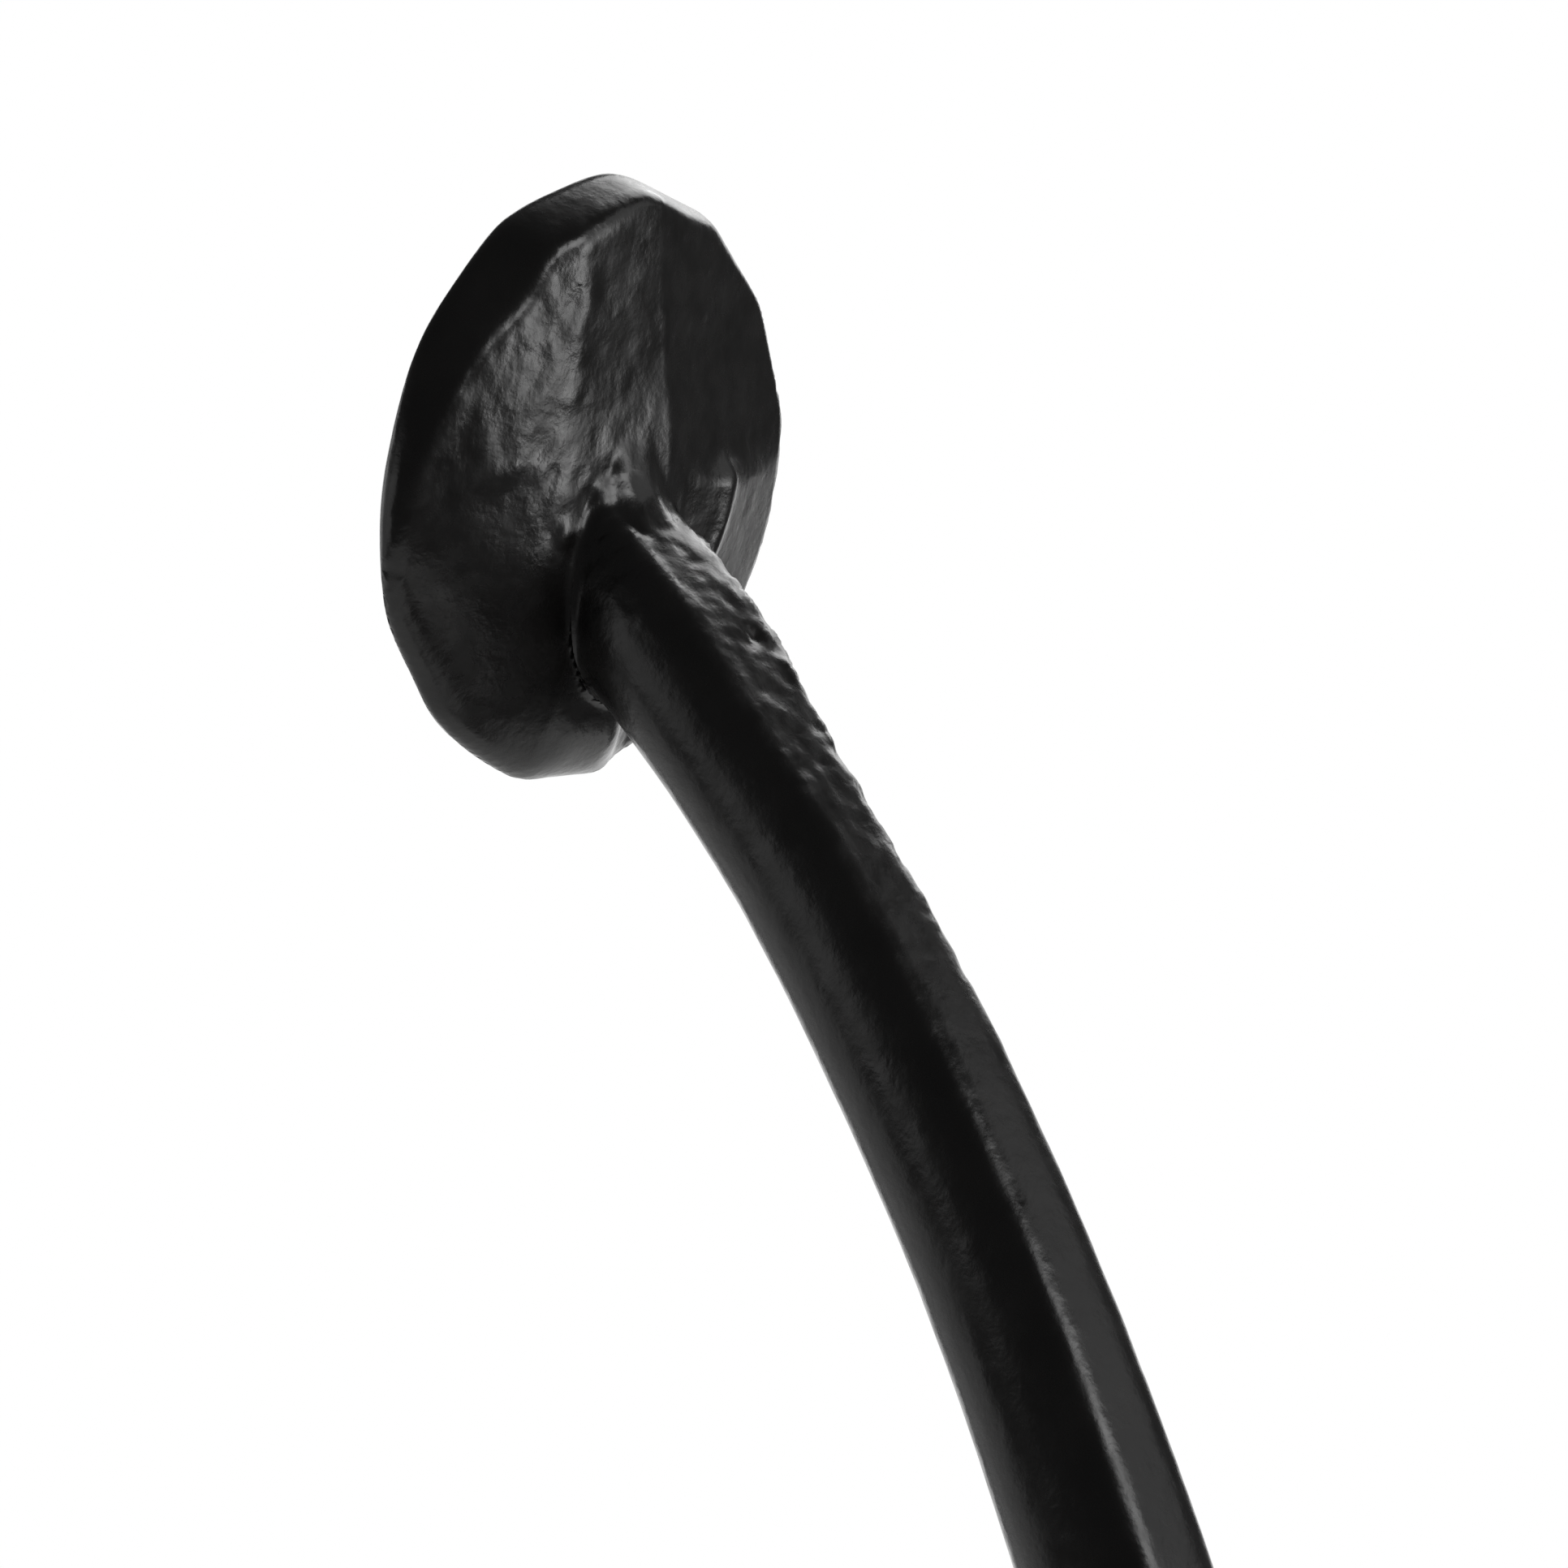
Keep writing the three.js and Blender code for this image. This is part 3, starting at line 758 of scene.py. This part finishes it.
def nut_shape(angle, reach, y):
    """Spreads 0 to 1 from hole to hexagon, and turns a chamfer on both faces."""
    turn = (angle + math.pi / 6) % (math.pi / 3) - math.pi / 6
    hexagon = smooth_min(NUT_FLAT / np.cos(turn), NUT_CORNER + 0 * turn, 0.1)
    radius = mix(NUT_HOLE, hexagon, reach)
    middle = (NUT_LOW[1] + NUT_HIGH[1]) / 2
    half = (NUT_HIGH[1] - NUT_LOW[1]) / 2
    outer = np.maximum(radius - NUT_CHAMFER_START, 0.0) * math.tan(NUT_CHAMFER)
    inner = np.maximum(NUT_HOLE + 0.25 - radius, 0.0)
    limit = half - outer - inner
    return radius, middle + np.clip(y - middle, -limit, limit)


def make_nut():
    """A hexagon nut: its profile's reach and y are turned into a shape by nut_shape."""
    reaches = np.concatenate([steps(0, 0.25, 0.05), steps(0.3, 1.0, 0.04)])
    face = [(reach, NUT_LOW[1]) for reach in reaches]
    wall = [(1.0, y) for y in steps(NUT_LOW[1] + 0.15, NUT_HIGH[1] - 0.15, 0.1)]
    back = [(reach, NUT_HIGH[1]) for reach in reaches[::-1]]
    hole = [(0.0, y) for y in steps(NUT_HIGH[1] - 0.3, NUT_LOW[1] + 0.3, 0.2)]
    return spun("retaining_nut_turned", face + wall + back + hole, ring=True, segments=144, shape=nut_shape)


SCREW_HEAD = 4.0
SCREW_SHANK = 1.95
SCREW_ROOT = 1.4
SCREW_PITCH = 1.5
SCREW_TAPER = 5.0
SCREW_PLAIN_LENGTH = 4.8
SCREW_SHARP_ANGLE = math.radians(38)
THREAD_HEIGHT = 0.55


def slot_cutter(top, z):
    """A bar that cuts the screwdriver slot, flared where it meets the head's face."""
    half = [(0.5, top + 1.0), (0.5, top + 0.1), (0.62, top - 0.02), (0.62, top - 1.0)]
    outline = half + [(-x, y) for x, y in half[::-1]]
    points = [(x * MM, y * MM, (z + end) * MM) for end in (-5.0, 5.0) for x, y in outline]
    count = len(outline)
    faces = [tuple(range(count)), tuple(range(2 * count - 1, count - 1, -1))]
    for index in range(count):
        after = (index + 1) % count
        faces.append((index, index + count, after + count, after))
    mesh = bpy.data.meshes.new("slot_cutter")
    mesh.from_pydata(points, [], faces)
    work = bmesh.new()
    work.from_mesh(mesh)
    bmesh.ops.recalc_face_normals(work, faces=work.faces)
    work.to_mesh(mesh)
    work.free()
    cutter = bpy.data.objects.new("slot_cutter", mesh)
    bpy.context.scene.collection.objects.link(cutter)
    return cutter


def make_plate_screw(name, node):
    """A slotted countersunk wood screw: plain shank, then a coarse thread that runs to a point."""
    low, high = node_box(node)
    centre = ((low[0] + high[0]) / 2, (low[2] + high[2]) / 2)
    top, tip = low[1], high[1]
    neck = top + SCREW_HEAD - SCREW_SHANK + 0.2
    thread_start = neck + SCREW_PLAIN_LENGTH

    def shape(angle, radius, y):
        on_thread = ramp(y, thread_start, thread_start + 1.0)
        taper = np.clip((tip - y) / SCREW_TAPER, 0.0, 1.0)
        root = SCREW_ROOT * taper**0.7
        crest = np.minimum(SCREW_SHANK, root + THREAD_HEIGHT * np.clip((tip - y) / 1.5, 0.0, 1.0))
        cut = root + (crest - root) * thread(angle, y, SCREW_PITCH, 0.24)
        return mix(radius, cut, on_thread), y

    corners = [(0.0, top), (SCREW_HEAD, top + 0.1), (SCREW_SHANK, neck), (SCREW_SHANK, thread_start)]
    head = eased(corners, 0.15)
    body = [(SCREW_SHANK, y) for y in steps(thread_start, tip, THREAD_STEP)[1:-1]]
    screw = spun(name, head + body + [(0.0, tip)], segments=72, shape=shape, centre=centre)
    cutter = slot_cutter(top, centre[1])
    cut = screw.modifiers.new("slot", "BOOLEAN")
    cut.object = cutter
    cut.operation = "DIFFERENCE"
    cut.solver = "EXACT"
    evaluated = screw.evaluated_get(bpy.context.evaluated_depsgraph_get())
    mesh = bpy.data.meshes.new_from_object(evaluated)
    screw.modifiers.clear()
    screw.data = mesh
    bpy.data.objects.remove(cutter)
    mesh.polygons.foreach_set("use_smooth", np.ones(len(mesh.polygons), bool))
    mesh.set_sharp_from_angle(angle=SCREW_SHARP_ANGLE)
    return screw


WAVE_HEIGHT = 0.15
WAVE_COUNT = 3


def wave_shape(angle, radius, y):
    """Bends a flat washer into a spring washer's waves."""
    return radius, y + WAVE_HEIGHT * np.cos(WAVE_COUNT * angle)


def washer_piece(name, node, wall, ease, shape=None, wave=0.0):
    """A washer as big as its CAD node, wall mm wide from hole to edge."""
    low, high = node_box(node)
    return washer(name, high[0] - wall, high[0], low[1] + wave, high[1] - wave, ease, shape)


pin = make_pin()
nut = make_nut()
screw_top = make_plate_screw("plate_screw_top_cut", "plate_screw_top")
screw_bottom = make_plate_screw("plate_screw_bottom_cut", "plate_screw_bottom")
bush = washer_piece("pivot_bush_turned", "pivot_bush", wall=0.9, ease=0.15)
friction_washer = washer_piece("friction_washer_pressed", "friction_washer", wall=2.2, ease=0.18)
wave_washer = washer_piece(
    "wave_washer_sprung", "wave_washer", wall=2.9, ease=0.08, shape=wave_shape, wave=WAVE_HEIGHT
)
retaining_washer = washer_piece("retaining_washer_pressed", "retaining_washer", wall=3.7, ease=0.14)

PIECES = (
    (handle, "handle", "black_iron", "lever"),
    (backplate, "backplate", "black_iron", "plate"),
    (pin, "pivot_pin", "black_steel", "lever"),
    (nut, "retaining_nut", "zinc_steel", "lever"),
    (retaining_washer, "retaining_washer", "zinc_steel", "lever"),
    (friction_washer, "friction_washer", "washer_nylon", "lever"),
    (wave_washer, "wave_washer", "zinc_steel", "plate"),
    (bush, "pivot_bush", "bush_bronze", "plate"),
    (screw_top, "plate_screw_top", "black_steel", "plate"),
    (screw_bottom, "plate_screw_bottom", "black_steel", "plate"),
)
for piece, node, finish, body in PIECES:
    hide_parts(node)
    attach(piece, body)

# ---------------------------------------------------------------------------------------------
# Materials
# ---------------------------------------------------------------------------------------------


class Surface:
    """A material whose tone, roughness and fine relief all come from noise in the object's space."""

    def __init__(self, name, **values):
        self.material = bpy.data.materials.new(name)
        self.material.use_nodes = True
        self.tree = self.material.node_tree
        self.shader = self.tree.nodes["Principled BSDF"]
        self.coords = self.tree.nodes.new("ShaderNodeTexCoord")
        self.normal = None
        for socket, value in values.items():
            self.shader.inputs[socket.replace("_", " ")].default_value = value

    def noise(self, size, detail=3.0, stretch=(1, 1, 1)):
        """Noise with features about size mm across."""
        place = self.tree.nodes.new("ShaderNodeMapping")
        place.inputs["Scale"].default_value = stretch
        self.tree.links.new(self.coords.outputs["Object"], place.inputs["Vector"])
        node = self.tree.nodes.new("ShaderNodeTexNoise")
        node.inputs["Scale"].default_value = 1 / (size * MM)
        node.inputs["Detail"].default_value = detail
        self.tree.links.new(place.outputs["Vector"], node.inputs["Vector"])
        return node.outputs["Fac"]

    def tone(self, source, dark, light, low=0.35, high=0.65):
        """Base colour from dark to light as the source goes from low to high."""
        ramp_node = self.tree.nodes.new("ShaderNodeValToRGB")
        ramp_node.color_ramp.elements[0].position = low
        ramp_node.color_ramp.elements[1].position = high
        ramp_node.color_ramp.elements[0].color = (*dark, 1)
        ramp_node.color_ramp.elements[1].color = (*light, 1)
        self.tree.links.new(source, ramp_node.inputs["Fac"])
        self.tree.links.new(ramp_node.outputs["Color"], self.shader.inputs["Base Color"])

    def roughness(self, source, low, high):
        """Roughness from low to high over the middle of the source's range."""
        spread = self.tree.nodes.new("ShaderNodeMapRange")
        spread.inputs["From Min"].default_value = 0.3
        spread.inputs["From Max"].default_value = 0.7
        spread.inputs["To Min"].default_value = low
        spread.inputs["To Max"].default_value = high
        self.tree.links.new(source, spread.inputs["Value"])
        self.tree.links.new(spread.outputs["Result"], self.shader.inputs["Roughness"])

    def bump(self, source, height):
        """Adds relief height mm tall to what is already there."""
        node = self.tree.nodes.new("ShaderNodeBump")
        node.inputs["Distance"].default_value = height * MM
        self.tree.links.new(source, node.inputs["Height"])
        if self.normal:
            self.tree.links.new(self.normal, node.inputs["Normal"])
        self.normal = node.outputs["Normal"]
        self.tree.links.new(self.normal, self.shader.inputs["Normal"])


def black_iron():
    """Semi-gloss black paint over rough iron."""
    surface = Surface("black_iron_paint", IOR=1.5)
    surface.tone(surface.noise(4.0), (0.0055, 0.0050, 0.0048), (0.0095, 0.0088, 0.0084))
    surface.roughness(surface.noise(1.3, 4.0), 0.20, 0.32)
    surface.bump(surface.noise(0.9, 4.0), 0.032)
    surface.bump(surface.noise(0.3, 2.0), 0.010)
    return surface.material


def black_steel():
    """Steel under a thin black finish, for the pin and the plate's screws."""
    surface = Surface("black_steel_finish", IOR=1.5)
    surface.tone(surface.noise(1.5), (0.007, 0.0068, 0.0068), (0.016, 0.0155, 0.015))
    surface.roughness(surface.noise(0.8, 4.0), 0.25, 0.40)
    surface.bump(surface.noise(0.3, 3.0), 0.008)
    return surface.material


def zinc_steel():
    """Bright zinc plating, for the nut and the steel washers."""
    surface = Surface("zinc_steel_finish", Metallic=1.0)
    surface.tone(surface.noise(1.2, 5.0), (0.42, 0.43, 0.45), (0.62, 0.63, 0.65))
    surface.roughness(surface.noise(0.6, 4.0), 0.24, 0.42)
    surface.bump(surface.noise(0.12, 2.0, (1, 4, 1)), 0.003)
    return surface.material


def bush_bronze():
    """Turned bronze."""
    surface = Surface("bush_bronze_finish", Metallic=1.0)
    surface.tone(surface.noise(1.6, 4.0), (0.36, 0.20, 0.09), (0.60, 0.38, 0.19))
    surface.roughness(surface.noise(0.5, 4.0), 0.22, 0.40)
    surface.bump(surface.noise(0.15, 2.0, (1, 6, 1)), 0.004)
    return surface.material


def washer_nylon():
    """Off-white nylon."""
    surface = Surface("washer_nylon_finish", IOR=1.53)
    surface.tone(surface.noise(2.0), (0.62, 0.60, 0.54), (0.72, 0.70, 0.64))
    surface.roughness(surface.noise(0.7), 0.42, 0.58)
    surface.bump(surface.noise(0.3), 0.004)
    return surface.material


MAKERS = (black_iron, black_steel, zinc_steel, bush_bronze, washer_nylon)
FINISHES = {make.__name__: make() for make in MAKERS}
for piece, node, finish, body in PIECES:
    piece.data.materials.append(FINISHES[finish])

# ---------------------------------------------------------------------------------------------
# Light, placed as the camera sees it: right, up, and towards the camera
# ---------------------------------------------------------------------------------------------
LIT_POINT = DISC_CENTRE + np.array([0.0, 10.0, -10.0])
LIGHT_DISTANCE = 500.0


def soft_light(name, right, up, towards, width, height, radiance, distance=LIGHT_DISTANCE):
    """A rectangular soft box that faces the head of the handle."""
    axes = camera_axes()
    direction = right * axes[0] + up * axes[1] + towards * axes[2]
    direction = direction / np.linalg.norm(direction)
    data = bpy.data.lights.new(name, "AREA")
    data.shape = "RECTANGLE"
    data.size = width * MM
    data.size_y = height * MM
    data.energy = radiance * math.pi * width * height * MM * MM
    light = bpy.data.objects.new(name, data)
    bpy.context.scene.collection.objects.link(light)
    light.location = Vector((LIT_POINT + direction * distance) * MM)
    light.rotation_mode = "QUATERNION"
    light.rotation_quaternion = Vector(direction).to_track_quat("Z", "Y")
    light.visible_camera = False


# Name, the way it lies from the head, its width and height, its radiance and any nearer distance
SOFT_BOXES = (
    ("backdrop", 0.0, 0.0, -1.0, 510, 470, 1.3),
    ("top_back", 0.33, 0.62, -0.72, 260, 320, 3.0),
    ("right_wing", 0.56, -0.17, -0.82, 90, 110, 0.55),
    ("right_box", 0.98, -0.03, -0.07, 150, 170, 1.3),
    ("right_low", 0.97, -0.11, -0.03, 70, 100, 5.5),
    ("right_high", 0.99, 0.08, 0.03, 190, 140, 1.2),
    ("right_upper", 0.90, 0.40, -0.20, 200, 200, 0.5),
    ("right_front", 0.93, 0.30, 0.27, 190, 180, 3.4),
    ("left_wall", -0.90, -0.15, -0.42, 480, 420, 0.42),
    ("left_back", -0.78, 0.05, -0.62, 220, 220, 0.6),
    ("left_front", -0.94, 0.03, 0.33, 56, 60, 0.6, 105.0),
    ("stem_edge", 0.83, 0.33, 0.44, 45, 42, 2.5, 143.0),
)
for soft_box in SOFT_BOXES:
    soft_light(*soft_box)

FLOOR_RADIUS = 290.0
FLOOR_MIDDLE = (40.0, -70.0, -80.0)


def make_floor():
    """A round light table, well below the handle and out of the main picture."""
    mesh = bpy.data.meshes.new("floor")
    work = bmesh.new()
    bmesh.ops.create_circle(work, cap_ends=True, segments=128, radius=FLOOR_RADIUS * MM)
    work.to_mesh(mesh)
    work.free()
    floor = bpy.data.objects.new("floor", mesh)
    bpy.context.scene.collection.objects.link(floor)
    floor.location = Vector(FLOOR_MIDDLE) * MM
    material = bpy.data.materials.new("pale_floor")
    material.use_nodes = True
    shader = material.node_tree.nodes["Principled BSDF"]
    shader.inputs["Base Color"].default_value = (0.78, 0.78, 0.77, 1)
    shader.inputs["Roughness"].default_value = 0.6
    shader.inputs["Emission Color"].default_value = (1, 1, 1, 1)
    shader.inputs["Emission Strength"].default_value = 0.35
    mesh.materials.append(material)


make_floor()


ROOM_GREY = (0.085, 0.085, 0.085, 1)


def make_world():
    """White where the camera sees past the floor, and a dim room to everything else."""
    world = bpy.data.worlds.new("room")
    bpy.context.scene.world = world
    world.use_nodes = True
    tree = world.node_tree
    backdrop = tree.nodes["Background"]
    backdrop.inputs["Color"].default_value = (1, 1, 1, 1)
    room = tree.nodes.new("ShaderNodeBackground")
    room.inputs["Color"].default_value = ROOM_GREY
    path = tree.nodes.new("ShaderNodeLightPath")
    mixer = tree.nodes.new("ShaderNodeMixShader")
    tree.links.new(path.outputs["Is Camera Ray"], mixer.inputs["Fac"])
    tree.links.new(room.outputs["Background"], mixer.inputs[1])
    tree.links.new(backdrop.outputs["Background"], mixer.inputs[2])
    tree.links.new(mixer.outputs["Shader"], tree.nodes["World Output"].inputs["Surface"])


make_world()
bpy.context.scene.view_settings.view_transform = "Standard"
